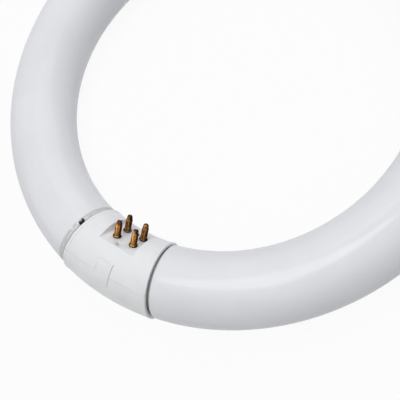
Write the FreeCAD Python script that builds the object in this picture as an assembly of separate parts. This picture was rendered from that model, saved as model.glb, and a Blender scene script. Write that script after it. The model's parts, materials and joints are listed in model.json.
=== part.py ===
import FreeCAD, Part
import math
import os

from FreeCAD import Placement, Rotation, Vector

# Circular fluorescent tube with a four-pin base, in millimetres.
# The ring lies flat round the origin with its axis along Z, and the base sits at -Y.
# Distances along the ring's centre line start at the middle of the base and grow towards +X.

# Glass ring
RING_DIA = 205.0          # outside diameter of the ring
TUBE_DIA = 29.0           # outside diameter of the tube
SHOULDER_ROUND = 1.2      # outer round where the tube draws in
NECK_FILLET = 1.1         # inner round where the shoulder meets the neck
NECK_END_GAP = 0.6        # from the nearest edge of a neck to the pin seat's end wall
NECK_END_ROUND = 1.2      # round of the neck's sealed rim
STEM_RIM = 3.0            # width of the rim round the stem's mouth
STEM_DEPTH = 5.8          # depth of the stem inside the neck
STEM_LAND = 3.0           # width of the stem's floor round the exhaust tip
EXHAUST_DIA = 4.4         # sealed-off exhaust tip
EXHAUST_SINK = 0.4        # how far the exhaust tip stops below the rim

# Base housing, split in two halves
BASE_LENGTH = 36.2        # along the ring's centre line
BASE_SLIP = 0.25          # how far the base has crept towards +X between the glass ends
SHOULDER_GAP = 2.05       # mean gap from the housing's rim to the glass shoulder
SHELL_PROUD = 0.5         # how far the housing stands out from the tube's surface
SHELL_WALL = 1.2
RIM_WIDTH = 1.4           # raised bead round each open end
RIM_PROUD = 0.15
RIM_BEVEL = 0.2
SEAM_OFFSET = 2.3         # from the tube's axis to the seam, towards the pins
SEAM_GAP = 0.15

# Centring ribs that bear on the glass necks
RIB_THICKNESS = 0.8
RIB_INSET = 2.2           # from the housing's end to the first rib
RIB_PITCH = 1.8
NECK_CLEARANCE = 0.15

# Pin seat, a flat sunk into the housing
PIN_TILT = 52.0           # degrees from the ring's axis towards the ring's middle
SEAT_LENGTH = 16.0
SEAT_DEPTH = 2.8          # below the housing's round surface
SEAT_THICKNESS = 2.0
KEY_SLOT_WIDTH = 1.7
KEY_SLOT_LENGTH = 2.4
KEY_SLOT_DEPTH = 1.4
KEY_SLOT_INSET = 0.6      # from the seat's outer long edge
BOSS_DIA = 4.6            # boss under the seat round each pin
BOSS_HEIGHT = 0.8

# Snap tongues, one across each seam
TONGUE_WIDTH = 6.6
TONGUE_REACH = 5.0        # above the seam
TONGUE_ROOT = 4.4         # length of the side slits below the seam
TONGUE_CLEARANCE = 0.17   # mean gap at each side of a tongue
TONGUE_SLIP = 0.11        # how far the windows stand towards +X of the tongues
TONGUE_TOP_GAP = 0.1
LEDGE_START = 0.9         # from the seam to the ledge that the hook catches
LEDGE_HEIGHT = 1.5
LEDGE_DEPTH = 1.4
LEDGE_SIDE = 1.6          # how far the ledge runs on past the tongue's window
HOOK_HEIGHT = 1.6
HOOK_DEPTH = 0.8
HOOK_INSET = 0.6          # from the tongue's sides to the hook
HOOK_CLEARANCE = 0.15

# Contact pins
PIN_PITCH_ALONG = 7.92
PIN_PITCH_ACROSS = 6.35
PIN_DIA = 2.6
PIN_LENGTH = 7.3          # above the seat
PIN_CLEARANCE = 0.05
PIN_COLLAR_DIA = 3.4
PIN_COLLAR_HEIGHT = 1.4   # up to the top of the flare
PIN_COLLAR_RIM = 0.6      # straight rim under the flare
PIN_NOSE_LENGTH = 2.3
PIN_NOSE_STEP = 0.12      # small shoulder under the nose
PIN_TIP_ROUND = 0.95      # ball radius of the tip
PIN_TIP_LAND = 0.05       # flat round the bore at the tip
PIN_HEAD_DIA = 3.8        # upset head under the boss
PIN_HEAD_HEIGHT = 0.6

# Lead wires
LEAD_DIA = 0.5
LEAD_CLEARANCE = 0.1
LEAD_BEND = 3.0
LEAD_FOOT = 0.1           # from the stem's floor to the lead's foot
LEAD_STUB = 0.15          # how far a lead stands out of its pin's tip

# Sizes that follow from those above
tube_r = TUBE_DIA / 2
ring_r = RING_DIA / 2 - tube_r
neck_r = tube_r - SHOULDER_ROUND - NECK_FILLET
shell_r = tube_r + SHELL_PROUD
bore_r = shell_r - SHELL_WALL
wall_middle_r = shell_r - SHELL_WALL / 2
seat_level = shell_r - SEAT_DEPTH
seat_underside = seat_level - SEAT_THICKNESS
boss_face = seat_underside - BOSS_HEIGHT
seat_end = SEAT_LENGTH / 2 + SHELL_WALL
glass_half_gap = BASE_LENGTH / 2 + SHOULDER_GAP
end_turn = (glass_half_gap - BASE_SLIP) / ring_r
neck_reach = (ring_r - neck_r) * math.sin(end_turn) - seat_end - NECK_END_GAP
neck_length = neck_reach / math.cos(end_turn)
exhaust_r = EXHAUST_DIA / 2
stem_floor_r = exhaust_r + STEM_LAND
lead_offset = exhaust_r + STEM_LAND / 2
lead_bore_r = LEAD_DIA / 2 + LEAD_CLEARANCE
pin_r = PIN_DIA / 2
pin_tip_level = seat_level + PIN_LENGTH
reach = 2 * shell_r       # larger than the housing's section, for cutting tools

UP = Vector(0, 0, 1)
SIDES = (-1, 1)

# The base's own frame: X along the tube, Y across it, Z along the pins, origin on the tube's axis.
BASE = Placement(Vector(0, -ring_r, 0), Rotation(Vector(1, 0, 0), -PIN_TILT))


def ring_point(distance):
    """Point on the ring's centre line."""
    turn = distance / ring_r
    return Vector(ring_r * math.sin(turn), -ring_r * math.cos(turn), 0)


def ring_tangent(distance):
    """Direction of the centre line, with distance growing."""
    turn = distance / ring_r
    return Vector(math.cos(turn), math.sin(turn), 0)


def bent_rod(radius, start, end):
    """Round rod that follows the ring's centre line from start to end."""
    section = Part.Circle(ring_point(start), ring_tangent(start), radius).toShape()
    face = Part.Face(Part.Wire(section))
    return face.revolve(Vector(0, 0, 0), UP, math.degrees((end - start) / ring_r))


def base_rod(radius):
    """Round rod as long as the base, bent with the ring."""
    return bent_rod(radius, -BASE_LENGTH / 2, BASE_LENGTH / 2)


def base_box(x_range, y_range, z_range):
    """Box in the base's frame, placed in the part's frame."""
    low = Vector(x_range[0], y_range[0], z_range[0])
    size = Vector(x_range[1], y_range[1], z_range[1]) - low
    box = Part.makeBox(size.x, size.y, size.z, low)
    box.Placement = BASE
    return box


def line(start, end):
    """Straight edge."""
    return Part.LineSegment(start, end).toShape()


def open_run(points):
    """Straight edges from each point to the next."""
    return [line(start, end) for start, end in zip(points, points[1:])]


def closed(points):
    """Straight edges round a closed outline."""
    return open_run(points + points[:1])


def arc(start, centre, end):
    """Arc of less than half a turn round centre."""
    radius = (start - centre).Length
    halfway = (start - centre) + (end - centre)
    halfway.normalize()
    return Part.Arc(start, centre + halfway * radius, end).toShape()


def turned(edges, axis):
    """Solid turned from a closed outline in the XY plane round an axis through the origin."""
    face = Part.Face(Part.Wire(edges))
    return face.revolve(Vector(0, 0, 0), axis, 360)


def glass_end_distance(side):
    """Where the full tube stops, on the base's left (-1) or right (+1)."""
    return side * glass_half_gap - BASE_SLIP


def end_frame(distance, side):
    """Frame of a round end on the base's left (-1) or right (+1): X along its axis into the base, Z up."""
    inwards = ring_tangent(distance) * -side
    return Placement(ring_point(distance), Rotation(inwards, UP.cross(inwards), UP, "XYZ"))


def glass_end_frame(side):
    """Frame of a glass end, where the full tube stops."""
    return end_frame(glass_end_distance(side), side)


def glass_end(side):
    """Shoulder, neck and sealed stem of one glass end, turned round the end's own axis."""
    shoulder = tube_r - SHOULDER_ROUND
    neck_start = SHOULDER_ROUND + NECK_FILLET
    rim_start = neck_length - NECK_END_ROUND
    rim_r = neck_r - NECK_END_ROUND
    floor = neck_length - STEM_DEPTH
    tip = neck_length - EXHAUST_SINK
    edges = [
        line(Vector(0, 0), Vector(0, tube_r)),
        arc(Vector(0, tube_r), Vector(0, shoulder), Vector(SHOULDER_ROUND, shoulder)),
        arc(Vector(SHOULDER_ROUND, shoulder), Vector(neck_start, shoulder), Vector(neck_start, neck_r)),
        line(Vector(neck_start, neck_r), Vector(rim_start, neck_r)),
        arc(Vector(rim_start, neck_r), Vector(rim_start, rim_r), Vector(neck_length, rim_r)),
        line(Vector(neck_length, rim_r), Vector(neck_length, neck_r - STEM_RIM)),
        line(Vector(neck_length, neck_r - STEM_RIM), Vector(floor, stem_floor_r)),
        line(Vector(floor, stem_floor_r), Vector(floor, exhaust_r)),
        line(Vector(floor, exhaust_r), Vector(tip - exhaust_r, exhaust_r)),
        arc(Vector(tip - exhaust_r, exhaust_r), Vector(tip - exhaust_r, 0), Vector(tip, 0)),
        line(Vector(tip, 0), Vector(0, 0)),
    ]
    end = turned(edges, Vector(1, 0, 0))
    end.Placement = glass_end_frame(side)
    return end


def glass_tube():
    """Ring of full tube from one glass end round to the other, with both ends drawn in."""
    once_round = 2 * math.pi * ring_r
    ring = bent_rod(tube_r, glass_end_distance(1), once_round + glass_end_distance(-1))
    return ring.fuse([glass_end(side) for side in SIDES]).removeSplitter()


def rim_bead(side):
    """Raised bead with bevelled edges, turned round the axis of one open end of the housing."""
    top = shell_r + RIM_PROUD
    outline = [
        Vector(0, wall_middle_r),
        Vector(0, top - RIM_BEVEL),
        Vector(RIM_BEVEL, top),
        Vector(RIM_WIDTH - RIM_BEVEL, top),
        Vector(RIM_WIDTH, top - RIM_BEVEL),
        Vector(RIM_WIDTH, wall_middle_r),
    ]
    bead = turned(closed(outline), Vector(1, 0, 0))
    bead.Placement = end_frame(side * BASE_LENGTH / 2, side)
    return bead


def centring_ribs(side):
    """Two ribs inside one end of the housing, bored to the glass neck with a clearance."""
    along = Vector(1, 0, 0)
    neck_space = Part.makeCylinder(neck_r + NECK_CLEARANCE, 2 * reach, along * -reach, along)
    neck_space.Placement = glass_end_frame(side)
    ribs = []
    for count in range(2):
        middle = side * (BASE_LENGTH / 2 - RIB_INSET - count * RIB_PITCH)
        rib = bent_rod(wall_middle_r, middle - RIB_THICKNESS / 2, middle + RIB_THICKNESS / 2)
        ribs.append(rib.cut(neck_space))
    return ribs


def housing():
    """Both halves of the housing in one, before it is split at the seam."""
    outside = base_rod(shell_r)
    sleeve = outside.fuse([rim_bead(side) for side in SIDES]).cut(base_rod(bore_r))
    seat_plate = outside.common(base_box((-seat_end, seat_end), (-reach, reach), (seat_underside, reach)))
    seat_pocket = base_box((-SEAT_LENGTH / 2, SEAT_LENGTH / 2), (-reach, reach), (seat_level, reach))
    ribs = centring_ribs(-1) + centring_ribs(1)
    return sleeve.fuse([seat_plate] + ribs).cut(seat_pocket)


def half_width(y_side):
    """Range across the base that covers its outer (-1) or inner (+1) side."""
    return (min(0, y_side * reach), max(0, y_side * reach))


def wall_strip(outer, inner, x_half, y_side, z_range):
    """Piece of a bent sleeve beside one seam, cut out by a box."""
    strip = base_rod(outer).cut(base_rod(inner))
    return strip.common(base_box((-x_half, x_half), half_width(y_side), z_range))


def pin_places():
    """Middles of the four pins in the base's frame, with the glass end that feeds each."""
    return [(side, Vector(side * PIN_PITCH_ALONG / 2, across * PIN_PITCH_ACROSS / 2, 0))
            for side in SIDES for across in SIDES]


def upright_cylinder(radius, place, z_range):
    """Cylinder along the pins at one pin's place."""
    cylinder = Part.makeCylinder(radius, z_range[1] - z_range[0], place + UP * z_range[0])
    cylinder.Placement = BASE
    return cylinder


def key_slot():
    """Small blind slot in the seat, beside its outer long edge."""
    seat_half_width = math.sqrt(shell_r ** 2 - seat_level ** 2)
    x_range = (-KEY_SLOT_WIDTH / 2, KEY_SLOT_WIDTH / 2)
    start = KEY_SLOT_INSET - seat_half_width
    return base_box(x_range, (start, start + KEY_SLOT_LENGTH), (seat_level - KEY_SLOT_DEPTH, reach))


def base_pin_half(whole):
    """Upper half: the pin seat with its bosses, and a window and ledge for each snap tongue."""
    above = base_box((-reach, reach), (-reach, reach), (SEAM_OFFSET + SEAM_GAP / 2, reach))
    half = whole.common(above)
    window_half = TONGUE_WIDTH / 2 + TONGUE_CLEARANCE
    ledge_low = SEAM_OFFSET + LEDGE_START
    window_range = (SEAM_OFFSET, SEAM_OFFSET + TONGUE_REACH + TONGUE_TOP_GAP)
    window_shift = Vector(TONGUE_SLIP, 0, 0)
    ledge_range = (ledge_low, ledge_low + LEDGE_HEIGHT)
    ledges = [wall_strip(wall_middle_r, bore_r - LEDGE_DEPTH, window_half + LEDGE_SIDE, side, ledge_range)
              for side in SIDES]
    windows = [wall_strip(shell_r + SHELL_WALL, bore_r - HOOK_CLEARANCE, window_half, side, window_range)
               .translated(window_shift) for side in SIDES]
    bosses = [upright_cylinder(BOSS_DIA / 2, place, (boss_face, seat_underside + SEAT_THICKNESS / 2))
              for _, place in pin_places()]
    holes = [upright_cylinder(pin_r + PIN_CLEARANCE, place, (0, reach)) for _, place in pin_places()]
    return half.fuse(ledges + bosses).cut(windows + holes + [key_slot()]).removeSplitter()


def base_back_half(whole):
    """Lower half: a plain trough with two snap tongues that reach past the seam."""
    below = base_box((-reach, reach), (-reach, reach), (-reach, SEAM_OFFSET - SEAM_GAP / 2))
    half = whole.common(below)
    tongue_half = TONGUE_WIDTH / 2
    root = SEAM_OFFSET - TONGUE_ROOT
    hook_low = SEAM_OFFSET + LEDGE_START + LEDGE_HEIGHT + HOOK_CLEARANCE
    hook_range = (hook_low, hook_low + HOOK_HEIGHT)
    hook_half = tongue_half - HOOK_INSET
    tongue_range = (root, SEAM_OFFSET + TONGUE_REACH)
    added = []
    slits = []
    for side in SIDES:
        added.append(wall_strip(shell_r, bore_r, tongue_half, side, tongue_range))
        added.append(wall_strip(wall_middle_r, bore_r - HOOK_DEPTH, hook_half, side, hook_range))
        for end in SIDES:
            slit = sorted((end * tongue_half, end * (tongue_half + TONGUE_CLEARANCE) + TONGUE_SLIP))
            slits.append(base_box(slit, half_width(side), (root, SEAM_OFFSET)))
    return half.fuse(added).cut(slits).removeSplitter()


def contact_pin(place):
    """Hollow turned pin: upset head, flared collar on the seat, straight shank and tapered round nose."""
    head_r = PIN_HEAD_DIA / 2
    collar_r = PIN_COLLAR_DIA / 2
    collar_top = seat_level + PIN_COLLAR_HEIGHT
    nose_base = Vector(pin_r - PIN_NOSE_STEP, pin_tip_level - PIN_NOSE_LENGTH)
    tip = Vector(lead_bore_r + PIN_TIP_LAND, pin_tip_level)
    tip_centre = Vector(0, tip.y - math.sqrt(PIN_TIP_ROUND ** 2 - tip.x ** 2))
    nose_top = tip_centre + Vector(PIN_TIP_ROUND, 0)
    outline = [
        Vector(lead_bore_r, boss_face - PIN_HEAD_HEIGHT),
        Vector(head_r, boss_face - PIN_HEAD_HEIGHT),
        Vector(head_r, boss_face),
        Vector(pin_r, boss_face),
        Vector(pin_r, seat_level),
        Vector(collar_r, seat_level),
        Vector(collar_r, seat_level + PIN_COLLAR_RIM),
        Vector(pin_r, collar_top),
        Vector(pin_r, nose_base.y - PIN_NOSE_STEP),
        nose_base,
        nose_top,
    ]
    bore = [tip, Vector(lead_bore_r, tip.y), outline[0]]
    edges = open_run(outline) + [arc(nose_top, tip_centre, tip)] + open_run(bore)
    pin = turned(edges, Vector(0, 1, 0))
    pin.Placement = BASE * Placement(place, Rotation(Vector(1, 0, 0), 90))
    return pin


def lead_wire(side, place):
    """Bare wire from the stem's floor, round one bend, and up through its pin."""
    distance = glass_end_distance(side)
    outwards = ring_point(distance).normalize()
    tilt = math.radians(PIN_TILT)
    across = outwards * -math.cos(tilt) - UP * math.sin(tilt)
    start = glass_end_frame(side).multVec(Vector(neck_length - STEM_DEPTH + LEAD_FOOT, 0, 0))
    start += across * math.copysign(lead_offset, place.y)
    corner = BASE.multVec(place)
    end = BASE.multVec(place + UP * (pin_tip_level + LEAD_STUB))
    back = (start - corner).normalize()
    onwards = (end - corner).normalize()
    half_angle = back.getAngle(onwards) / 2
    setback = LEAD_BEND / math.tan(half_angle)
    bisector = (back + onwards).normalize()
    centre = corner + bisector * (LEAD_BEND / math.sin(half_angle))
    bend_start = corner + back * setback
    bend_end = corner + onwards * setback
    path = Part.Wire([line(start, bend_start), arc(bend_start, centre, bend_end), line(bend_end, end)])
    section = Part.Wire(Part.Circle(start, back, LEAD_DIA / 2).toShape())
    wire = path.makePipeShell([section], True, False)
    expected = math.pi * (LEAD_DIA / 2) ** 2 * path.Length
    print("lead volume over section times length: %.4f" % (wire.Volume / expected))
    return wire


def main():
    """Build every piece and write one file for each."""
    os.makedirs("parts", exist_ok=True)
    whole = housing()
    pieces = {
        "glass_tube": glass_tube(),
        "base_pin_half": base_pin_half(whole),
        "base_back_half": base_back_half(whole),
    }
    for number, (side, place) in enumerate(pin_places(), start=1):
        pieces["contact_pin_%d" % number] = contact_pin(place)
        pieces["lead_wire_%d" % number] = lead_wire(side, place)
    for name, shape in pieces.items():
        facts = (name, len(shape.Solids), shape.isValid(), shape.Volume)
        print("%s: %d solid(s), valid %s, %.1f mm3" % facts)
        shape.exportStep("parts/%s.step" % name)


main()
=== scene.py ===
"""Looks of a ring-shaped fluorescent tube with a moulded four-pin base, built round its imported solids.

The glass ring, the two halves of the base and the four contact pins are modelled here and stand for the
solids of the same pieces. The lead wires keep their solids and get a wire finish. Lengths are in metres.
"""
from __future__ import annotations

import json
import logging
import math
from dataclasses import dataclass, field
from enum import Enum

import bmesh
import bpy
from mathutils import Matrix, Vector

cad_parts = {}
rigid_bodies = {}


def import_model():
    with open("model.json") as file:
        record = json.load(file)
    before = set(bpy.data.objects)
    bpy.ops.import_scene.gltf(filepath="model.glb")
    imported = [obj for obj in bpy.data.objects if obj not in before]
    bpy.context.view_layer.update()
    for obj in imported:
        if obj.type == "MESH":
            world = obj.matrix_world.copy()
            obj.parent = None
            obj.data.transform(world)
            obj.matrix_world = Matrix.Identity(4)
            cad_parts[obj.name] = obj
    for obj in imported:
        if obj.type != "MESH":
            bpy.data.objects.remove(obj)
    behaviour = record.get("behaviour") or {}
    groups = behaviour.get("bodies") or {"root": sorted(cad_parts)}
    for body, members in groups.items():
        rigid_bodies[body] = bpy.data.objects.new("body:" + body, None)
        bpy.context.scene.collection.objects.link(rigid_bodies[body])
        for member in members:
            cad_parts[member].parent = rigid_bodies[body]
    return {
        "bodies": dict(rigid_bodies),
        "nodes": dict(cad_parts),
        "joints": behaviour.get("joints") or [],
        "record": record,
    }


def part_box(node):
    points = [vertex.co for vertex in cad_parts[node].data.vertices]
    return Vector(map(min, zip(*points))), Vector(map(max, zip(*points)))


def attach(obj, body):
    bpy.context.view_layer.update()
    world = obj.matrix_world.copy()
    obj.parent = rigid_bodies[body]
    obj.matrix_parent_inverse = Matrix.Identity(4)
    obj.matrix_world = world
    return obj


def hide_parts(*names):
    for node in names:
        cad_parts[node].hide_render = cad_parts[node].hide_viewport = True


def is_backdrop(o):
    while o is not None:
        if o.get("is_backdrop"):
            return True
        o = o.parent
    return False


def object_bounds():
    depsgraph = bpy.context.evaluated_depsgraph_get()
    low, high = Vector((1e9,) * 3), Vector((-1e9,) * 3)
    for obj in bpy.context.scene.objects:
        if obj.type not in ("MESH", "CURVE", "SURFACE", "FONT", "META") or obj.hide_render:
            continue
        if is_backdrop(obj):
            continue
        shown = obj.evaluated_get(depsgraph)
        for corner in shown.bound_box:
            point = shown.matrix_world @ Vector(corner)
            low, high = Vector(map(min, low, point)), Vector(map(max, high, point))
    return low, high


MM = 0.001
UP = Vector((0.0, 0.0, 1.0))
ROOT = "root"
# A mark has faded out at this share of its half sizes.
MARK_EDGE = 1.15

log = logging.getLogger("ring_tube")

Rgb = tuple[float, float, float]
Outline = list[tuple[float, float]]
Socket = bpy.types.NodeSocket


class Side(Enum):
    """The two glass ends beside the base, by the sign of their place along the ring."""

    LEFT = -1
    RIGHT = 1


class Slot(Enum):
    """Material slots of the part's record."""

    GLASS = "coated_glass"
    PLASTIC = "base_plastic"
    BRASS = "pin_brass"
    LEAD = "lead_metal"


@dataclass(frozen=True)
class Wear:
    """How heat and use have left a contact pin: its tip, its shank and its foot, whose dark band is partly
    tarnish and partly painted shade where the collar stands on the seat.

    Heights are shares of the pin's length above its seat.
    """

    tip: Rgb
    tip_start: float
    dulled: float
    # Colour and top of the dark band at the foot, partly tarnish and partly painted shade.
    foot: Rgb
    foot_top: float


class PinWear(Enum):
    """The four pins' states, in the order of the record's mounts."""

    REDDENED = Wear(
        tip=(0.100, 0.020, 0.015), tip_start=0.65, dulled=0.10, foot=(0.016, 0.009, 0.005), foot_top=0.095)
    BLACKENED = Wear(
        tip=(0.014, 0.005, 0.003), tip_start=0.70, dulled=0.34, foot=(0.080, 0.072, 0.048), foot_top=0.16)
    SOOTED = Wear(
        tip=(0.010, 0.008, 0.004), tip_start=0.72, dulled=0.05, foot=(0.016, 0.009, 0.005), foot_top=0.095)
    GOLDEN = Wear(
        tip=(0.100, 0.055, 0.018), tip_start=0.88, dulled=0.30, foot=(0.020, 0.012, 0.006), foot_top=0.11)


def arc(centre: tuple[float, float], radius: float, start: float, end: float, steps: int) -> Outline:
    """Points along an arc, both ends included.

    Args:
        centre: Middle of the arc.
        radius: Radius of the arc.
        start: First angle in degrees.
        end: Last angle in degrees.
        steps: Number of stretches between points.

    Returns:
        The points in order.
    """
    angles = [math.radians(start + (end - start) * step / steps) for step in range(steps + 1)]
    return [(centre[0] + radius * math.cos(a), centre[1] + radius * math.sin(a)) for a in angles]


def direction(azimuth: float, elevation: float) -> Vector:
    """Unit vector from the object towards a light or the camera.

    Args:
        azimuth: Degrees from +X towards +Y.
        elevation: Degrees above the floor.

    Returns:
        The vector.
    """
    turn, rise = math.radians(azimuth), math.radians(elevation)
    return Vector((math.cos(turn) * math.cos(rise), math.sin(turn) * math.cos(rise), math.sin(rise)))


def finished_object(bm: bmesh.types.BMesh, name: str, smooth_angle: float = 40.0) -> bpy.types.Object:
    """Turn a bmesh into a shown object at the origin, smooth except at sharp edges.

    Args:
        bm: The finished mesh, which is freed.
        name: Name of the new piece.
        smooth_angle: Edges that fold by more than this many degrees stay sharp.

    Returns:
        The new object.
    """
    limit = math.radians(smooth_angle)
    for face in bm.faces:
        face.smooth = True
    for edge in bm.edges:
        edge.smooth = not edge.is_manifold or edge.calc_face_angle() < limit
    mesh = bpy.data.meshes.new(name)
    bm.to_mesh(mesh)
    bm.free()
    piece = bpy.data.objects.new(name, mesh)
    bpy.context.scene.collection.objects.link(piece)
    return piece


def seat_piece(piece: bpy.types.Object, node: str, material: bpy.types.Material) -> None:
    """Give a new piece its body and its finish, and hide the solid that it stands for.

    Args:
        piece: The new piece.
        node: Name of the solid that it stands for.
        material: The finish.
    """
    piece.data.materials.clear()
    piece.data.materials.append(material)
    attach(piece, ROOT)
    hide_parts(node)
    log.info("%s stands for %s, %d faces", piece.name, node, len(piece.data.polygons))


class Graph:
    """Short calls that place and wire nodes in one shader tree."""

    def __init__(self, tree: bpy.types.NodeTree) -> None:
        """Keep the tree that nodes go into."""
        self.tree = tree

    @classmethod
    def start(cls, owner: bpy.types.Material | bpy.types.World) -> Graph:
        """Turn on the nodes of a material or a world, with none in its tree yet.

        Args:
            owner: The material or world.

        Returns:
            The graph of its empty tree.
        """
        owner.use_nodes = True
        owner.node_tree.nodes.clear()
        return cls(owner.node_tree)

    def add(self, kind: str, **settings: object) -> bpy.types.Node:
        """Place a node.

        Args:
            kind: The node's type name without its ShaderNode prefix.
            settings: Values for the node's own properties.

        Returns:
            The new node.
        """
        node = self.tree.nodes.new("ShaderNode" + kind)
        for name, value in settings.items():
            setattr(node, name, value)
        return node

    def feed(self, socket: Socket, value: object) -> None:
        """Wire a socket to an input, or set the input's own value.

        Args:
            socket: The input.
            value: Another node's output, or a plain number, colour or vector.
        """
        if isinstance(value, Socket):
            self.tree.links.new(value, socket)
        elif socket.type == "RGBA" and len(value) == 3:
            socket.default_value = (*value, 1.0)
        else:
            socket.default_value = value

    def math(self, operation: str, *values: object, clamp: bool = False) -> Socket:
        """Combine numbers.

        Args:
            operation: Name of the sum, such as ADD.
            values: Sockets or plain numbers.
            clamp: Keep the result between 0 and 1.

        Returns:
            The result's socket.
        """
        node = self.add("Math", operation=operation, use_clamp=clamp)
        for socket, value in zip(node.inputs, values):
            self.feed(socket, value)
        return node.outputs[0]

    def between(self, factor: Socket, low: float, high: float) -> Socket:
        """Number between two numbers, the low one where the factor is 0."""
        return self.math("MULTIPLY_ADD", factor, high - low, low)

    def vector_math(self, operation: str, *values: object, output: str = "Vector") -> Socket:
        """Combine vectors.

        Args:
            operation: Name of the sum, such as DOT_PRODUCT.
            values: Sockets or plain vectors.
            output: Value where the result is a number.

        Returns:
            The result's socket.
        """
        node = self.add("VectorMath", operation=operation)
        for socket, value in zip(node.inputs, values):
            self.feed(socket, value)
        return node.outputs[output]

    def part(self, vector: Socket, axis: str) -> Socket:
        """One coordinate of a vector.

        Args:
            vector: Socket to read.
            axis: X, Y or Z.

        Returns:
            The number's socket.
        """
        node = self.add("SeparateXYZ")
        self.feed(node.inputs["Vector"], vector)
        return node.outputs[axis]

    def ramp(self, value: Socket, low: object, high: object) -> Socket:
        """Mask that eases from 0 at low to 1 at high.

        Args:
            value: Socket to read.
            low: Socket or number where the mask is 0.
            high: Socket or number where the mask is 1.

        Returns:
            The mask's socket.
        """
        node = self.add("MapRange", interpolation_type="SMOOTHSTEP")
        self.feed(node.inputs["Value"], value)
        self.feed(node.inputs["From Min"], low)
        self.feed(node.inputs["From Max"], high)
        return node.outputs["Result"]

    def blend(self, factor: object, first: object, second: object) -> Socket:
        """Colour between two colours.

        Args:
            factor: 0 gives the first colour and 1 the second.
            first: Socket or colour.
            second: Socket or colour.

        Returns:
            The colour's socket.
        """
        node = self.add("Mix", data_type="RGBA")
        self.feed(node.inputs["Factor"], factor)
        self.feed(node.inputs["A"], first)
        self.feed(node.inputs["B"], second)
        return node.outputs["Result"]

    def attribute(self, name: str) -> Socket:
        """A number stored on the piece's points."""
        return self.add("Attribute", attribute_name=name).outputs["Fac"]

    def place(self) -> Socket:
        """Where a point lies in the part's frame."""
        return self.add("TexCoord").outputs["Object"]

    def use(self, group: bpy.types.NodeTree, output: str, **inputs: object) -> Socket:
        """Place a shared effect with its own values.

        Args:
            group: The effect.
            output: Which of its outputs to return.
            inputs: Values for its inputs.

        Returns:
            The output's socket.
        """
        node = self.add("Group", node_tree=group)
        for name, value in inputs.items():
            self.feed(node.inputs[name], value)
        return node.outputs[output]


def effect(
        name: str, inputs: dict[str, str], outputs: dict[str, str],
) -> tuple[Graph, bpy.types.Node, bpy.types.Node]:
    """Start a shared shader effect.

    Args:
        name: Name of the node group.
        inputs: Socket type of each named input.
        outputs: Socket type of each named output.

    Returns:
        The group's graph, its input node and its output node.
    """
    tree = bpy.data.node_groups.new(name, "ShaderNodeTree")
    for label, kind in inputs.items():
        tree.interface.new_socket(label, in_out="INPUT", socket_type=kind)
    for label, kind in outputs.items():
        tree.interface.new_socket(label, in_out="OUTPUT", socket_type=kind)
    graph = Graph(tree)
    return graph, tree.nodes.new("NodeGroupInput"), tree.nodes.new("NodeGroupOutput")


@dataclass(frozen=True)
class Mottle:
    """A finish's use of the cloudy effect: how fine it is and the noise levels its mask runs between."""

    scale: float
    detail: float
    low: float
    high: float


class Effects:
    """Surface effects that several finishes share."""

    grain_shares: tuple[float, float] = (1.0, 0.23)
    grain_detail: float = 3.0

    def __init__(self) -> None:
        """Build each effect once."""
        self.mottle = self._mottle()
        self.grain = self._grain()

    @staticmethod
    def _mottle() -> bpy.types.NodeTree:
        """Cloudy unevenness, as in a coating, a moulding or a tarnish.

        Returns:
            The node group, whose Mask runs from 0 to 1.
        """
        floats = {label: "NodeSocketFloat" for label in ("Scale", "Detail", "Low", "High")}
        graph, source, sink = effect(
            "mottle", {"Vector": "NodeSocketVector", **floats}, {"Mask": "NodeSocketFloat"})
        noise = graph.add("TexNoise")
        graph.feed(noise.inputs["Vector"], source.outputs["Vector"])
        graph.feed(noise.inputs["Scale"], source.outputs["Scale"])
        graph.feed(noise.inputs["Detail"], source.outputs["Detail"])
        spread = graph.ramp(noise.outputs["Fac"], source.outputs["Low"], source.outputs["High"])
        graph.feed(sink.inputs["Mask"], spread)
        return graph.tree

    def _grain(self) -> bpy.types.NodeTree:
        """Fine height of a moulded or drawn surface, two sizes of noise together.

        Returns:
            The node group, whose Height feeds a bump.
        """
        inputs = {"Vector": "NodeSocketVector", "Scale": "NodeSocketFloat"}
        graph, source, sink = effect("grain", inputs, {"Height": "NodeSocketFloat"})
        layers = []
        for share in self.grain_shares:
            noise = graph.add("TexNoise")
            graph.feed(noise.inputs["Vector"], source.outputs["Vector"])
            graph.feed(noise.inputs["Scale"], graph.math("MULTIPLY", source.outputs["Scale"], share))
            graph.feed(noise.inputs["Detail"], self.grain_detail)
            layers.append(noise.outputs["Fac"])
        graph.feed(sink.inputs["Height"], graph.math("ADD", *layers))
        return graph.tree

    def cloud(self, graph: Graph, place: Socket, look: Mottle) -> Socket:
        """Mask of the cloudy effect.

        Args:
            graph: The material's graph.
            place: Where a point lies.
            look: The finish's own values.

        Returns:
            The mask's socket.
        """
        return graph.use(
            self.mottle, "Mask", Vector=place, Scale=look.scale, Detail=look.detail,
            Low=look.low, High=look.high)

    def roughen(
            self, graph: Graph, surface: bpy.types.Node, place: Socket, scale: float, depth: float,
    ) -> None:
        """Wire the fine grain into a surface's normal.

        Args:
            graph: The material's graph.
            surface: Its shader.
            place: Where a point lies.
            scale: How fine the grain is.
            depth: Depth of the relief.
        """
        bump = graph.add("Bump")
        graph.feed(bump.inputs["Strength"], 1.0)
        graph.feed(bump.inputs["Distance"], depth)
        graph.feed(bump.inputs["Height"], graph.use(self.grain, "Height", Vector=place, Scale=scale))
        graph.feed(surface.inputs["Normal"], bump.outputs["Normal"])


def new_material(name: str) -> tuple[bpy.types.Material, Graph, bpy.types.Node]:
    """Start a material with one principled surface.

    Args:
        name: Name of the material.

    Returns:
        The material, its graph and its surface shader.
    """
    material = bpy.data.materials.new(name)
    graph = Graph.start(material)
    surface = graph.add("BsdfPrincipled")
    sink = graph.add("OutputMaterial")
    graph.feed(sink.inputs["Surface"], surface.outputs["BSDF"])
    return material, graph, surface


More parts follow.
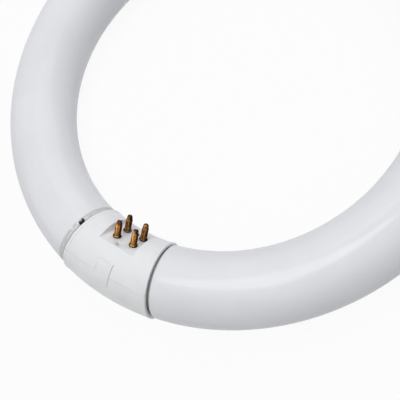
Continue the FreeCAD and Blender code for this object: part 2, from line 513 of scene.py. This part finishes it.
def oval_mask(graph: Graph, place: Socket, frame: Matrix, core: float) -> Socket:
    """Soft-edged oval mask.

    Args:
        graph: The material's graph.
        place: Where a point lies.
        frame: Frame with the mark's middle, turn and half sizes.
        core: Share of the half sizes inside which the mask is full.

    Returns:
        The mask's socket.
    """
    where, turn, size = frame.decompose()
    mapping = graph.add("Mapping", vector_type="TEXTURE")
    graph.feed(mapping.inputs["Vector"], place)
    mapping.inputs["Location"].default_value = where
    mapping.inputs["Rotation"].default_value = turn.to_euler()
    mapping.inputs["Scale"].default_value = size
    length = graph.vector_math("LENGTH", mapping.outputs["Vector"], output="Value")
    return graph.ramp(length, MARK_EDGE, core)


@dataclass(frozen=True)
class EndMark:
    """A mark on a glass end, by its degrees round the tube and its depth into the base."""

    turn: float
    depth: float
    half_round: float
    half_along: float
    tone: Rgb


@dataclass(frozen=True)
class SeatMark:
    """A mark or a patch of painted shade on the base's pin seat, by its place along and across the tube.
    """

    along: float
    across: float
    half_along: float
    half_across: float
    core: float
    tone: Rgb


@dataclass(frozen=True)
class CoatedGlass:
    """Glass with a white powder coat inside, bare and grey where it is drawn in, and painted lighter
    further in, as painted light in the grooves beside the base.

    Depths are measured from the coat's edge, and are negative on the bare glass.
    """

    coat: Rgb = (0.79, 0.802, 0.838)
    coat_thin: Rgb = (0.765, 0.777, 0.81)
    bare: Rgb = (0.58, 0.58, 0.59)
    # Painted light that lifts the shade in the grooves at the glass ends, much lighter at the left end.
    painted_light_left: Rgb = (0.90, 0.90, 0.89)
    painted_light_right: Rgb = (0.62, 0.62, 0.585)
    bare_start: float = 0.2 * MM
    bare_full: float = -0.15 * MM
    # Where the painted light in the grooves starts and where it is full.
    painted_light_start: float = -0.9 * MM
    painted_light_full: float = -1.7 * MM
    ragged: float = 0.25 * MM
    cloud: Mottle = Mottle(scale=55.0, detail=4.0, low=0.3, high=0.7)
    edge_cloud: Mottle = Mottle(scale=900.0, detail=2.0, low=0.2, high=0.8)
    mark_core: float = 0.75
    roughness: float = 0.6
    gloss: float = 0.12
    gloss_share: float = 0.5
    ior: float = 1.5

    def material(self, effects: Effects, marks: list[tuple[Matrix, EndMark]]) -> bpy.types.Material:
        """Build the finish.

        Args:
            effects: Shared effects.
            marks: Each mark with the frame that centres it.

        Returns:
            The material.
        """
        material, graph, surface = new_material(Slot.GLASS.value)
        place = graph.place()
        colour = graph.blend(effects.cloud(graph, place, self.cloud), self.coat, self.coat_thin)
        rough_edge = effects.cloud(graph, place, self.edge_cloud)
        depth = graph.math("MULTIPLY_ADD", rough_edge, self.ragged, graph.attribute("from_coat_edge"))
        colour = graph.blend(graph.ramp(depth, self.bare_start, self.bare_full), colour, self.bare)
        # Further in, the bare glass takes the lighter tones: painted light in the grooves between the
        # base's rims and the glass.
        right = graph.math("GREATER_THAN", graph.part(place, "X"), 0.0)
        painted_light = graph.blend(right, self.painted_light_left, self.painted_light_right)
        colour = graph.blend(graph.ramp(depth, self.painted_light_start, self.painted_light_full), colour, painted_light)
        for frame, mark in marks:
            colour = graph.blend(oval_mask(graph, place, frame, self.mark_core), colour, mark.tone)
        graph.feed(surface.inputs["Base Color"], colour)
        surface.inputs["Roughness"].default_value = self.roughness
        surface.inputs["Specular IOR Level"].default_value = 0.0
        surface.inputs["Coat Weight"].default_value = self.gloss_share
        surface.inputs["Coat Roughness"].default_value = self.gloss
        surface.inputs["Coat IOR"].default_value = self.ior
        return material


@dataclass(frozen=True)
class MouldedPlastic:
    """Satin white plastic of the base, a little uneven and faintly soiled, with painted shade in the key
    slot.
    """

    colour: Rgb = (0.82, 0.836, 0.856)
    soiled: Rgb = (0.79, 0.806, 0.822)
    roughness: tuple[float, float] = (0.30, 0.42)
    soil: Mottle = Mottle(scale=140.0, detail=5.0, low=0.42, high=0.78)
    handling: Mottle = Mottle(scale=420.0, detail=3.0, low=0.3, high=0.7)
    ior: float = 1.5
    specular: float = 0.2
    grain: float = 2600.0
    relief: float = 0.006 * MM

    def material(self, effects: Effects, marks: list[tuple[Matrix, SeatMark]]) -> bpy.types.Material:
        """Build the finish.

        Args:
            effects: Shared effects.
            marks: Each mark with the frame that centres it.

        Returns:
            The material.
        """
        material, graph, surface = new_material(Slot.PLASTIC.value)
        place = graph.place()
        colour = graph.blend(effects.cloud(graph, place, self.soil), self.colour, self.soiled)
        # The seat's marks: a dark speck, and painted shade in the key slot.
        for frame, mark in marks:
            colour = graph.blend(oval_mask(graph, place, frame, mark.core), colour, mark.tone)
        graph.feed(surface.inputs["Base Color"], colour)
        handled = effects.cloud(graph, place, self.handling)
        graph.feed(surface.inputs["Roughness"], graph.between(handled, *self.roughness))
        surface.inputs["IOR"].default_value = self.ior
        surface.inputs["Specular IOR Level"].default_value = self.specular
        effects.roughen(graph, surface, place, self.grain, self.relief)
        return material


@dataclass(frozen=True)
class TarnishedBrass:
    """Turned brass that has gone brown, with a heat-stained tip, and painted shade on the side away from
    the light, in the hollow of the collar's flare and at its foot.

    Heights are shares of the pin's length above its seat, and a pair runs from a mask's start to its end.
    """

    bright: Rgb = (0.76, 0.37, 0.100)
    brown: Rgb = (0.25, 0.098, 0.025)
    dull: Rgb = (0.17, 0.093, 0.038)
    # Dark brown of the flecks, also used for the painted shade on the pin and for the darkening at the tip
    # round the bore's mouth.
    stain_and_shade: Rgb = (0.020, 0.011, 0.006)
    grazing: Rgb = (0.42, 0.30, 0.20)
    roughness: tuple[float, float] = (0.15, 0.36)
    streaks: Mottle = Mottle(scale=3.2, detail=4.0, low=0.36, high=0.62)
    blotches: Mottle = Mottle(scale=650.0, detail=4.0, low=0.40, high=0.70)
    flecks: Mottle = Mottle(scale=1900.0, detail=2.0, low=0.56, high=0.72)
    blotch_share: float = 0.35
    fleck_share: float = 0.7
    tip_fade: float = 0.17
    tip_lean: float = 0.17
    tip_streak: float = 0.08
    tip_film: float = 0.24
    film_gloss: float = 0.06
    mouth: tuple[float, float] = (0.935, 0.99)
    # Side that the light comes from, with the span and share of the painted shade on the side away from
    # it.
    lit_turn: float = 32.0
    side_shade_span: tuple[float, float] = (-0.25, 0.70)
    side_shade_share: float = 0.85
    foot_fade: float = 0.05
    # Painted shade in the hollow of the collar's flare, round this height.
    flare_shade_height: float = 0.155
    flare_shade_half: float = 0.055
    flare_shade_share: float = 0.55
    grain: float = 1500.0
    relief: float = 0.008 * MM

    def material(self, effects: Effects, name: str, wear: Wear, seed: float) -> bpy.types.Material:
        """Build the finish of one pin.

        Args:
            effects: Shared effects.
            name: Name of the material.
            wear: How this pin is worn.
            seed: Place of this pin's streaks in the noise.

        Returns:
            The material.
        """
        material, graph, surface = new_material(name)
        turned = graph.add("Attribute", attribute_name="turned").outputs["Vector"]
        height = graph.part(turned, "Z")
        # How far a point faces the lit side; the painted shade and the lean of the tip's stain follow it.
        lit_angle = math.radians(self.lit_turn)
        lit_side = (-math.sin(lit_angle), math.cos(lit_angle), 0.0)
        toward_lit_side = graph.vector_math("DOT_PRODUCT", turned, lit_side, output="Value")
        shifted = graph.vector_math("ADD", turned, (seed, seed, seed))
        streaks = effects.cloud(graph, shifted, self.streaks)
        colour = self._shank(effects, graph, wear, streaks, toward_lit_side, height)
        leaning = graph.math("MULTIPLY_ADD", toward_lit_side, -self.tip_lean, height)
        uneven = graph.math("MULTIPLY_ADD", streaks, self.tip_streak, leaning)
        burnt = graph.ramp(uneven, wear.tip_start, wear.tip_start + self.tip_fade)
        colour = graph.blend(burnt, colour, wear.tip)
        # The tip's top round the bore's mouth is darkened to the same dark brown.
        colour = graph.blend(graph.ramp(height, *self.mouth), colour, self.stain_and_shade)
        # Dark band at the foot: partly tarnish, partly painted shade where the collar meets the seat.
        foot = graph.ramp(height, wear.foot_top, wear.foot_top - self.foot_fade)
        colour = graph.blend(foot, colour, wear.foot)
        graph.feed(surface.inputs["Base Color"], colour)
        graph.feed(surface.inputs["Roughness"], graph.between(streaks, *self.roughness))
        graph.feed(surface.inputs["Coat Weight"], graph.math("MULTIPLY", burnt, self.tip_film))
        surface.inputs["Coat Roughness"].default_value = self.film_gloss
        surface.inputs["Metallic"].default_value = 1.0
        surface.inputs["Specular Tint"].default_value = (*self.grazing, 1.0)
        effects.roughen(graph, surface, graph.place(), self.grain, self.relief)
        return material

    def _shank(
            self, effects: Effects, graph: Graph, wear: Wear, streaks: Socket, toward_lit_side: Socket,
            height: Socket,
    ) -> Socket:
        """Colour of the pin before its tip and foot: streaked, dulled, with dark flecks, and with painted
        shade on the side away from the light and in the hollow of the collar's flare.

        Args:
            effects: Shared effects.
            graph: The material's graph.
            wear: How this pin is worn.
            streaks: Mask of the brown streaks.
            toward_lit_side: How far a point faces the lit side.
            height: Share of the pin's length above its seat.

        Returns:
            The colour's socket.
        """
        place = graph.place()
        blotches = effects.cloud(graph, place, self.blotches)
        flecks = effects.cloud(graph, place, self.flecks)
        colour = graph.blend(streaks, self.bright, self.brown)
        dulled = graph.math("MULTIPLY_ADD", blotches, self.blotch_share, wear.dulled, clamp=True)
        colour = graph.blend(dulled, colour, self.dull)
        # Painted shade on the side away from the light.
        side_shade = graph.ramp(toward_lit_side, self.side_shade_span[1], self.side_shade_span[0])
        dark = graph.math("MULTIPLY", side_shade, self.side_shade_share)
        dark = graph.math("MAXIMUM", dark, graph.math("MULTIPLY", flecks, self.fleck_share))
        # Painted shade in the hollow where the flare meets the shank, laid on with the side's painted
        # shade and the flecks.
        aside = graph.math("ABSOLUTE", graph.math("SUBTRACT", height, self.flare_shade_height))
        flare_shade = graph.math("MULTIPLY", graph.ramp(aside, self.flare_shade_half, 0.0), self.flare_shade_share)
        return graph.blend(graph.math("MAXIMUM", dark, flare_shade), colour, self.stain_and_shade)


@dataclass(frozen=True)
class DrawnWire:
    """Bare drawn lead wire, dull grey with brownish patches."""

    colour: Rgb = (0.50, 0.47, 0.42)
    oxide: Rgb = (0.16, 0.12, 0.09)
    roughness: float = 0.38
    patches: Mottle = Mottle(scale=700.0, detail=3.0, low=0.4, high=0.7)
    grain: float = 3000.0
    relief: float = 0.003 * MM

    def material(self, effects: Effects) -> bpy.types.Material:
        """Build the finish.

        Args:
            effects: Shared effects.

        Returns:
            The material.
        """
        material, graph, surface = new_material(Slot.LEAD.value)
        place = graph.place()
        oxidised = effects.cloud(graph, place, self.patches)
        graph.feed(surface.inputs["Base Color"], graph.blend(oxidised, self.colour, self.oxide))
        surface.inputs["Roughness"].default_value = self.roughness
        surface.inputs["Metallic"].default_value = 1.0
        effects.roughen(graph, surface, place, self.grain, self.relief)
        return material


@dataclass
class GlassRing:
    """The bent glass tube with its two drawn-in, sealed ends."""

    ring_r: float
    tube_r: float
    half_gap: float = 20.15 * MM
    slip: float = 0.25 * MM
    shoulder_round: float = 1.2 * MM
    neck_fillet: float = 1.1 * MM
    neck_length: float = 7.383 * MM
    rim_round: float = 1.2 * MM
    rim_width: float = 3.0 * MM
    stem_depth: float = 5.8 * MM
    stem_land: float = 3.0 * MM
    exhaust_r: float = 2.2 * MM
    exhaust_sink: float = 0.4 * MM
    bare_left: float = 0.66 * MM
    bare_right: float = -0.3 * MM
    around: int = 96
    along: int = 300
    shoulder_steps: int = 8
    bend_steps: int = 6
    marks: list[tuple[Side, EndMark]] = field(default_factory=lambda: [
        (Side.LEFT, EndMark(98.6, 0.4 * MM, 0.45 * MM, 1.2 * MM, (0.80, 0.80, 0.82))),
        (Side.LEFT, EndMark(87.3, -0.2 * MM, 0.7 * MM, 0.75 * MM, (0.80, 0.80, 0.82))),
        (Side.LEFT, EndMark(108.4, 0.5 * MM, 0.72 * MM, 0.75 * MM, (0.012, 0.012, 0.016))),
        (Side.LEFT, EndMark(102.9, 0.75 * MM, 0.85 * MM, 0.75 * MM, (0.012, 0.012, 0.016))),
        (Side.LEFT, EndMark(105.4, 1.1 * MM, 1.0 * MM, 0.55 * MM, (0.016, 0.016, 0.020))),
    ])

    @classmethod
    def from_frame(cls) -> GlassRing:
        """Read the ring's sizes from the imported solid.

        Returns:
            The ring.
        """
        low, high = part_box("glass_tube")
        tube_r = min(high.z, -low.z)
        return cls(ring_r=min(high.x, -low.x, high.y) - tube_r, tube_r=tube_r)

    @property
    def neck_r(self) -> float:
        """Radius of the drawn-in neck."""
        return self.tube_r - self.shoulder_round - self.neck_fillet

    def end_turn(self, side: Side) -> float:
        """Angle from the middle of the base to where the full tube stops."""
        return (side.value * self.half_gap - self.slip) / self.ring_r

    def end_frame(self, side: Side) -> Matrix:
        """Frame of a glass end.

        Args:
            side: Which end.

        Returns:
            Frame with X along the end's axis into the base, Z up and its origin where the full tube ends.
        """
        turn = self.end_turn(side)
        inwards = Vector((math.cos(turn), math.sin(turn), 0.0)) * -side.value
        middle = Vector((math.sin(turn), -math.cos(turn), 0.0)) * self.ring_r
        axes = Matrix((inwards, UP.cross(inwards), UP)).transposed().to_4x4()
        return Matrix.Translation(middle) @ axes

    def end_outline(self) -> Outline:
        """How far in and how wide the glass end is, from the full tube to the exhaust tip.

        Returns:
            Distances into the base with the radius at each.
        """
        shoulder = self.tube_r - self.shoulder_round
        neck_start = self.shoulder_round + self.neck_fillet
        rim_start = self.neck_length - self.rim_round
        floor = self.neck_length - self.stem_depth
        tip = self.neck_length - self.exhaust_sink - self.exhaust_r
        rim_middle = self.neck_r - self.rim_round
        outline = arc((0.0, shoulder), self.shoulder_round, 90.0, 0.0, self.shoulder_steps)[1:]
        outline += arc((neck_start, shoulder), self.neck_fillet, 180.0, 270.0, self.bend_steps)[1:]
        outline += arc((rim_start, rim_middle), self.rim_round, 90.0, 0.0, self.bend_steps)
        outline += [
            (self.neck_length, self.neck_r - self.rim_width),
            (floor, self.exhaust_r + self.stem_land),
            (floor, self.exhaust_r),
        ]
        return outline + arc((tip, 0.0), self.exhaust_r, 90.0, 0.0, self.bend_steps)[:-1]

    def build(self) -> bpy.types.Object:
        """Spin the tube round the ring and draw in both ends.

        Returns:
            The glass piece.
        """
        bm = bmesh.new()
        across = Matrix.Rotation(math.pi / 2, 4, "Y")
        circle = bmesh.ops.create_circle(
            bm, segments=self.around, radius=self.tube_r, matrix=self.end_frame(Side.RIGHT) @ across)
        first = list({edge for vert in circle["verts"] for edge in vert.link_edges})
        turn = 2 * math.pi + self.end_turn(Side.LEFT) - self.end_turn(Side.RIGHT)
        spun = bmesh.ops.spin(
            bm, geom=circle["verts"] + first, cent=(0, 0, 0), axis=UP, angle=turn, steps=self.along)
        last = [part for part in spun["geom_last"] if isinstance(part, bmesh.types.BMEdge)]
        self._draw_in(bm, first, Side.RIGHT)
        self._draw_in(bm, last, Side.LEFT)
        bmesh.ops.recalc_face_normals(bm, faces=bm.faces)
        self._note_bare_glass(bm)
        return finished_object(bm, "tube_glass")

    def _draw_in(self, bm: bmesh.types.BMesh, loop: list[bmesh.types.BMEdge], side: Side) -> None:
        """Extrude one open end along the end's outline and close it at the exhaust tip.

        Args:
            bm: The mesh.
            loop: Edges of the open end.
            side: Which end.
        """
        frame = self.end_frame(side)
        inwards = frame.col[0].to_3d()
        reached, width = 0.0, self.tube_r
        rim = []
        for advance, radius in self.end_outline():
            grown = bmesh.ops.extrude_edge_only(bm, edges=loop)["geom"]
            rim = [part for part in grown if isinstance(part, bmesh.types.BMVert)]
            edges = [part for part in grown if isinstance(part, bmesh.types.BMEdge)]
            loop = [edge for edge in edges if all(vert in rim for vert in edge.verts)]
            shrink = radius / width
            space = frame.inverted() @ Matrix.Translation(inwards * -reached)
            bmesh.ops.scale(bm, vec=(1.0, shrink, shrink), space=space, verts=rim)
            bmesh.ops.translate(bm, vec=inwards * (advance - reached), verts=rim)
            reached, width = advance, radius
        tip = self.neck_length - self.exhaust_sink
        bmesh.ops.pointmerge(bm, verts=rim, merge_co=frame @ Vector((tip, 0.0, 0.0)))

    def _note_bare_glass(self, bm: bmesh.types.BMesh) -> None:
        """Store on each point how far it lies from the coat's edge, negative where the glass is bare.

        Args:
            bm: The mesh.
        """
        layer = bm.verts.layers.float.new("from_coat_edge")
        margins = {Side.LEFT: self.bare_left, Side.RIGHT: self.bare_right}
        homes = {side: self.end_frame(side).inverted() for side in Side}
        for vert in bm.verts:
            side = Side.RIGHT if vert.co.x > 0 else Side.LEFT
            turn = math.atan2(vert.co.x, -vert.co.y)
            along = side.value * (turn - self.end_turn(side)) * self.ring_r
            inside = (homes[side] @ vert.co).x
            from_end = -inside if abs(along) < self.tube_r else along
            vert[layer] = from_end - margins[side]

    def mark_frames(self) -> list[tuple[Matrix, EndMark]]:
        """Each mark with a frame whose X runs along the tube and Y round it, scaled to its half sizes.

        Returns:
            Pairs of frame and mark.
        """
        placed = []
        for side, mark in self.marks:
            turn = math.radians(mark.turn)
            radial = Vector((0.0, side.value * math.cos(turn), math.sin(turn)))
            middle = Vector((mark.depth, 0.0, 0.0)) + radial * (self.tube_r - self.shoulder_round)
            along = Vector((1.0, 0.0, 0.0))
            axes = Matrix((along, radial.cross(along), radial)).transposed().to_4x4()
            size = Matrix.Diagonal((mark.half_along, mark.half_round, self.shoulder_round * 2, 1.0))
            placed.append((self.end_frame(side) @ Matrix.Translation(middle) @ axes @ size, mark))
        return placed

    def dress(self, piece: bpy.types.Object, effects: Effects) -> None:
        """Give the glass its finish and seat it."""
        finish = CoatedGlass().material(effects, self.mark_frames())
        seat_piece(piece, "glass_tube", finish)


@dataclass
class BaseHousing:
    """The two moulded halves of the base, with every edge broken as a mould leaves it."""

    ring_r: float
    edge_round: float = 0.07 * MM
    edge_steps: int = 2
    edge_angle: float = 32.0
    weld: float = 0.0005 * MM
    flat_angle: float = 0.2
    halves: tuple[str, ...] = ("base_pin_half", "base_back_half")
    pin_tilt: float = 52.0
    seat_level: float = 12.2 * MM
    mark_depth: float = 1.0 * MM
    marks: tuple[SeatMark, ...] = (
        # A dark speck beside a pin, and a patch of painted shade in the key slot at the seat's edge.
        SeatMark(1.0 * MM, 4.5 * MM, 0.48 * MM, 0.42 * MM, 0.9, (0.030, 0.022, 0.020)),
        SeatMark(-0.6 * MM, -6.9 * MM, 1.9 * MM, 1.2 * MM, 0.05, (0.60, 0.61, 0.63)),
    )

    def mark_frames(self) -> list[tuple[Matrix, SeatMark]]:
        """Each mark with a frame on the seat, scaled to its half sizes.

        Returns:
            Pairs of frame and mark.
        """
        tilt = Matrix.Rotation(-math.radians(self.pin_tilt), 4, "X")
        base = Matrix.Translation((0.0, -self.ring_r, 0.0)) @ tilt
        placed = []
        for mark in self.marks:
            middle = Matrix.Translation((mark.along, mark.across, self.seat_level))
            size = Matrix.Diagonal((mark.half_along, mark.half_across, self.mark_depth, 1.0))
            placed.append((base @ middle @ size, mark))
        return placed

    def build(self, solid: bpy.types.Object, name: str) -> bpy.types.Object:
        """Weld a copy of one half's solid, clear its flats and round its edges.

        Args:
            solid: The half's solid.
            name: Name of the new piece.

        Returns:
            The new piece.
        """
        bm = bmesh.new()
        bm.from_mesh(solid.data)
        bmesh.ops.remove_doubles(bm, verts=bm.verts, dist=self.weld)
        bmesh.ops.dissolve_limit(
            bm, angle_limit=math.radians(self.flat_angle), verts=bm.verts, edges=bm.edges)
        limit = math.radians(self.edge_angle)
        sharp = [edge for edge in bm.edges if edge.is_manifold and edge.calc_face_angle() > limit]
        bmesh.ops.bevel(
            bm, geom=sharp, offset=self.edge_round, offset_type="OFFSET", segments=self.edge_steps,
            profile=0.5, affect="EDGES", clamp_overlap=True, material=-1)
        return finished_object(bm, name)

    def dress(self, piece: bpy.types.Object, node: str, finish: bpy.types.Material) -> None:
        """Give one half its finish and seat it."""
        seat_piece(piece, node, finish)


@dataclass
class ContactPin:
    """One hollow turned pin, with its sizes measured down from the tip."""

    node: str
    middle: Vector
    axis: Vector
    shank_r: float
    tip_level: float
    foot_level: float
    wear: PinWear
    collar_r: float = 1.7 * MM
    collar_height: float = 1.4 * MM
    collar_rim: float = 0.5 * MM
    rim_round: float = 0.22 * MM
    length: float = 7.3 * MM
    nose_length: float = 2.1 * MM
    nose_step: float = 0.06 * MM
    tip_round: float = 1.06 * MM
    bore_r: float = 0.35 * MM
    tip_land: float = 0.05 * MM
    head_r: float = 1.9 * MM
    head_height: float = 0.6 * MM
    edge_round: float = 0.07 * MM
    edge_steps: int = 3
    edge_angle: float = 30.0
    weld: float = 0.001 * MM
    rim_steps: int = 5
    nose_steps: int = 9
    around: int = 56

    @classmethod
    def from_frame(cls, frame: dict, mount: dict, wear: PinWear) -> ContactPin:
        """Read one pin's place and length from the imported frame.

        Args:
            frame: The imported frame.
            mount: The record's mount for this pin.
            wear: How it is worn.

        Returns:
            The pin.
        """
        axis = Vector(mount["axis"]).normalized()
        middle = Vector(mount["pos_m"])
        levels = [axis.dot(vert.co - middle) for vert in frame["nodes"][mount["name"]].data.vertices]
        return cls(
            node=mount["name"], middle=middle, axis=axis, shank_r=mount["dims"]["r_mm"] * MM,
            tip_level=max(levels), foot_level=min(levels), wear=wear)

    @property
    def seat_level(self) -> float:
        """Where the pin's collar stands on the seat."""
        return self.tip_level - self.length

    def outline(self) -> Outline:
        """Half section of the pin as radius and level, closed through the bore.

        Returns:
            Points from the foot of the bore, up the outside and back to the bore's mouth.
        """
        collar_top = self.seat_level + self.collar_height
        nose = self.tip_level - self.nose_length
        land = self.bore_r + self.tip_land
        dome = self.tip_level - math.sqrt(self.tip_round ** 2 - land ** 2)
        end_angle = math.degrees(math.acos(land / self.tip_round))
        under_head = self.foot_level + self.head_height
        points = [
            (self.bore_r, self.foot_level),
            (self.head_r, self.foot_level),
            (self.head_r, under_head),
            (self.shank_r, under_head),
            (self.shank_r, self.seat_level),
        ]
        rim_middle = (self.collar_r - self.rim_round, self.seat_level + self.rim_round)
        points += arc(rim_middle, self.rim_round, -90.0, 0.0, self.rim_steps)
        points += self._flare(self.seat_level + self.collar_rim, collar_top)
        points += [(self.shank_r, nose - self.nose_step), (self.shank_r - self.nose_step, nose)]
        points += arc((0.0, dome), self.tip_round, 0.0, end_angle, self.nose_steps)
        return points + [(self.bore_r, self.tip_level)]

    def _flare(self, low: float, high: float, steps: int = 8) -> Outline:
        """Hollow curve from the collar's rim up into the shank.

        Args:
            low: Level where it leaves the rim.
            high: Level where it meets the shank.
            steps: Number of stretches between points.

        Returns:
            The points in order.
        """
        turns = [math.pi / 2 * step / steps for step in range(steps + 1)]
        width, rise = self.collar_r - self.shank_r, high - low
        return [(self.collar_r - width * math.sin(t), low + rise * (1 - math.cos(t))) for t in turns]

    def build(self) -> bpy.types.Object:
        """Spin the half section round the pin's axis and break its edges.

        Returns:
            The pin.
        """
        bm = bmesh.new()
        points = [bm.verts.new((radius, 0.0, level)) for radius, level in self.outline()]
        edges = [bm.edges.new(pair) for pair in zip(points, points[1:] + points[:1])]
        bmesh.ops.spin(
            bm, geom=points + edges, cent=(0, 0, 0), axis=UP, angle=2 * math.pi, steps=self.around,
            use_merge=True)
        bmesh.ops.remove_doubles(bm, verts=bm.verts, dist=self.weld)
        bmesh.ops.recalc_face_normals(bm, faces=bm.faces)
        limit = math.radians(self.edge_angle)
        sharp = [edge for edge in bm.edges if edge.calc_face_angle() > limit]
        bmesh.ops.bevel(
            bm, geom=sharp, offset=self.edge_round, offset_type="OFFSET", segments=self.edge_steps,
            profile=0.5, affect="EDGES", clamp_overlap=True, material=-1)
        turned = bm.verts.layers.float_vector.new("turned")
        for vert in bm.verts:
            height = (vert.co.z - self.seat_level) / self.length
            radius = max(vert.co.xy.length, self.shank_r / 2)
            vert[turned] = (vert.co.x / radius, -vert.co.y / radius, height)
        stand = Matrix.Translation(self.middle) @ UP.rotation_difference(self.axis).to_matrix().to_4x4()
        bmesh.ops.transform(bm, matrix=stand, verts=bm.verts)
        return finished_object(bm, self.node.replace("contact_pin", "brass_pin"))

    def dress(self, piece: bpy.types.Object, effects: Effects) -> None:
        """Give the pin its finish and seat it.

        Args:
            piece: The pin.
            effects: Shared effects.
        """
        name = self.node.replace("contact_pin", "pin_brass")
        seed = (self.middle.x + self.middle.y) / MM
        finish = TarnishedBrass().material(effects, name, self.wear.value, seed)
        seat_piece(piece, self.node, finish)


@dataclass(frozen=True)
class Softbox:
    """One square area light that looks at the base."""

    name: str
    azimuth: float
    elevation: float
    distance: float
    width: float
    level: float
    colour: Rgb = (1.0, 1.0, 1.0)

    def build(self, aim: Vector) -> None:
        """Hang the light, with the power that lights a facing white surface to its level.

        Args:
            aim: Point that it looks at.
        """
        away = direction(self.azimuth, self.elevation)
        data = bpy.data.lights.new(self.name, "AREA")
        data.shape = "SQUARE"
        data.size = self.width
        data.color = self.colour
        data.energy = self.level * math.pi ** 2 * self.distance ** 2
        lamp = bpy.data.objects.new(self.name, data)
        lamp.location = aim + away * self.distance
        lamp.rotation_mode = "QUATERNION"
        lamp.rotation_quaternion = (-away).to_track_quat("-Z", "Y")
        bpy.context.scene.collection.objects.link(lamp)


@dataclass
class Studio:
    """White table, soft light and the camera at the photograph's viewing angle."""

    floor_half: float = 3.0
    floor_tone: Rgb = (0.74, 0.74, 0.74)
    floor_white: float = 0.93
    ambient: float = 0.19
    softboxes: tuple[Softbox, ...] = (
        Softbox("overhead_softbox", 180.0, 83.5, 0.80, 0.42, 0.32),
        Softbox("front_softbox", -18.0, 66.0, 1.00, 1.20, 0.344),
        Softbox("back_softbox", 100.0, 40.0, 1.00, 0.90, 0.37),
        Softbox("side_softbox", 230.0, 26.0, 1.00, 0.80, 0.177),
    )
    aim: Vector = field(default_factory=lambda: Vector((14.30, -51.83, 0.0)) * MM)
    camera_azimuth: float = -18.33
    camera_elevation: float = 66.23
    camera_roll: float = -43.27
    camera_distance: float = 225.96 * MM
    focal_px: float = 572.2
    photo_px: float = 400.0
    sensor: float = 36.0
    near_share: float = 0.01

    def build(self, floor_level: float) -> None:
        """Set up floor, world, lights and camera.

        Args:
            floor_level: Height that the object rests at.
        """
        self._floor(floor_level)
        self._world()
        for softbox in self.softboxes:
            softbox.build(self.aim)
        self._camera()
        settings = bpy.context.scene.view_settings
        settings.view_transform = "Standard"

    @staticmethod
    def _shown(graph: Graph) -> Socket:
        """Mask of the rays that show the background: from the camera, in gloss and through glass.

        Args:
            graph: Graph of the floor or the world.

        Returns:
            The mask's socket.
        """
        rays = graph.add("LightPath")
        names = ("Is Camera Ray", "Is Glossy Ray", "Is Transmission Ray")
        first, second, third = (rays.outputs[name] for name in names)
        return graph.math("MAXIMUM", graph.math("MAXIMUM", first, second), third)

    def _floor(self, level: float) -> None:
        """Pale floor that keeps a light shadow.

        Args:
            level: Height that the object rests at.
        """
        bm = bmesh.new()
        bmesh.ops.create_grid(bm, x_segments=1, y_segments=1, size=self.floor_half)
        bmesh.ops.translate(bm, vec=(0.0, 0.0, level), verts=bm.verts)
        floor = finished_object(bm, "floor")
        material = bpy.data.materials.new("floor_white")
        graph = Graph.start(material)
        matt = graph.add("BsdfDiffuse")
        graph.feed(matt.inputs["Color"], self.floor_tone)
        glow = graph.add("Emission")
        graph.feed(glow.inputs["Strength"], 1.0)
        mix = graph.add("MixShader")
        graph.feed(mix.inputs[0], graph.math("MULTIPLY", self._shown(graph), self.floor_white))
        graph.feed(mix.inputs[1], matt.outputs[0])
        graph.feed(mix.inputs[2], glow.outputs[0])
        sink = graph.add("OutputMaterial")
        graph.feed(sink.inputs["Surface"], mix.outputs[0])
        floor.data.materials.append(material)
        floor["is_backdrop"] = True

    def _world(self) -> None:
        """White surroundings where they show, and an even ambient light."""
        world = bpy.data.worlds.new("studio")
        graph = Graph.start(world)
        sky = graph.add("Background")
        strength = graph.math("MULTIPLY_ADD", self._shown(graph), 1.0 - self.ambient, self.ambient)
        graph.feed(sky.inputs["Color"], (1.0, 1.0, 1.0))
        graph.feed(sky.inputs["Strength"], strength)
        sink = graph.add("OutputWorld")
        graph.feed(sink.inputs["Surface"], sky.outputs[0])
        bpy.context.scene.world = world

    def _camera(self) -> None:
        """Camera at the photograph's place, turned about its own axis as the photograph is."""
        away = direction(self.camera_azimuth, self.camera_elevation)
        data = bpy.data.cameras.new("photo_camera")
        data.sensor_width = self.sensor
        data.lens = self.focal_px * self.sensor / self.photo_px
        data.clip_start = self.camera_distance * self.near_share
        camera = bpy.data.objects.new("photo_camera", data)
        level = (-away).to_track_quat("-Z", "Y").to_matrix()
        roll = Matrix.Rotation(math.radians(self.camera_roll), 3, "Z")
        camera.location = self.aim + away * self.camera_distance
        camera.rotation_mode = "QUATERNION"
        camera.rotation_quaternion = (level @ roll).to_quaternion()
        bpy.context.scene.collection.objects.link(camera)
        bpy.context.scene.camera = camera


def dress_leads(frame: dict, effects: Effects) -> None:
    """Give the lead wires' solids their wire finish.

    Args:
        frame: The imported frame.
        effects: Shared effects.
    """
    finish = DrawnWire().material(effects)
    for name, solid in frame["nodes"].items():
        if name.startswith("lead_wire"):
            solid.data.materials.clear()
            solid.data.materials.append(finish)
            log.info("%s keeps its solid", name)


def main() -> None:
    """Build every piece, dress it and set the studio round it."""
    logging.basicConfig(level=logging.INFO, format="%(name)s: %(message)s")
    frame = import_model()
    solid_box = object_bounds()
    effects = Effects()

    ring = GlassRing.from_frame()
    ring.dress(ring.build(), effects)

    housing = BaseHousing(ring.ring_r)
    plastic = MouldedPlastic().material(effects, housing.mark_frames())
    for node in housing.halves:
        half = housing.build(frame["nodes"][node], node.replace("base", "housing"))
        housing.dress(half, node, plastic)

    mounts = [mount for mount in frame["record"]["mounts"] if mount["kind"] == "pin"]
    for mount, wear in zip(mounts, PinWear):
        pin = ContactPin.from_frame(frame, mount, wear)
        pin.dress(pin.build(), effects)

    dress_leads(frame, effects)
    Studio().build(solid_box[0].z)


if __name__ == "__main__":
    main()
